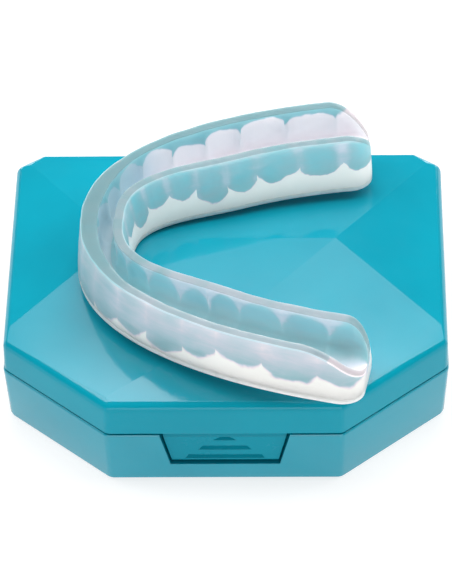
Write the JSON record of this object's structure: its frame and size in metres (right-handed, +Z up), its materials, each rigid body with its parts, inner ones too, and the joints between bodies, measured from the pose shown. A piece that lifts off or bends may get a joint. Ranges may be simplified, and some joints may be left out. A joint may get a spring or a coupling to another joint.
{
  "type": "mouthguard with storage case",
  "caption": "U-shaped boil-and-bite mouthguard resting on a closed octagonal hinged case with a faceted lid and a front latch.",
  "frame": {"origin": "centre of the case's underside, midway between its side walls and between its front and back walls at the seam", "axes": "+Z up out of the lid, -Y towards the latch, +Y towards the hinges, +X along the hinge line and towards the open end of the mouthguard"},
  "size_m": [0.082, 0.0771, 0.034],
  "materials": {
    "case_teal": "glossy moulded",
    "latch_teal": "semi-gloss moulded",
    "pin_teal": "satin",
    "guard_bite": "milky, satin",
    "guard_liner": "translucent, wet-looking gloss"
  },
  "bodies": {
    "case_base": {"base_shell": "case_teal", "hinge_pin_left": "pin_teal", "hinge_pin_right": "pin_teal"},
    "case_lid": {"lid_shell": "case_teal", "latch_pin": "pin_teal"},
    "latch": {"latch_tab": "latch_teal"},
    "guard": {"guard_bite_layer": "guard_bite", "guard_liner": "guard_liner"}
  },
  "joints": [
    {"name": "lid_hinge", "type": "hinge", "parent": "case_base", "child": "case_lid", "pos_m": [0, 0.0374, 0.01215], "axis": [-1, 0, 0], "range_deg": [0, 110]},
    {"name": "latch_release", "type": "hinge", "parent": "case_lid", "child": "latch", "pos_m": [0, -0.0324, 0.0138], "axis": [-1, 0, 0], "range_deg": [0, 14]},
    {"name": "guard_lift", "type": "slide", "parent": "case_lid", "child": "guard", "axis": [0, 0, 1], "range_m": [0, 0.06]}
  ]
}
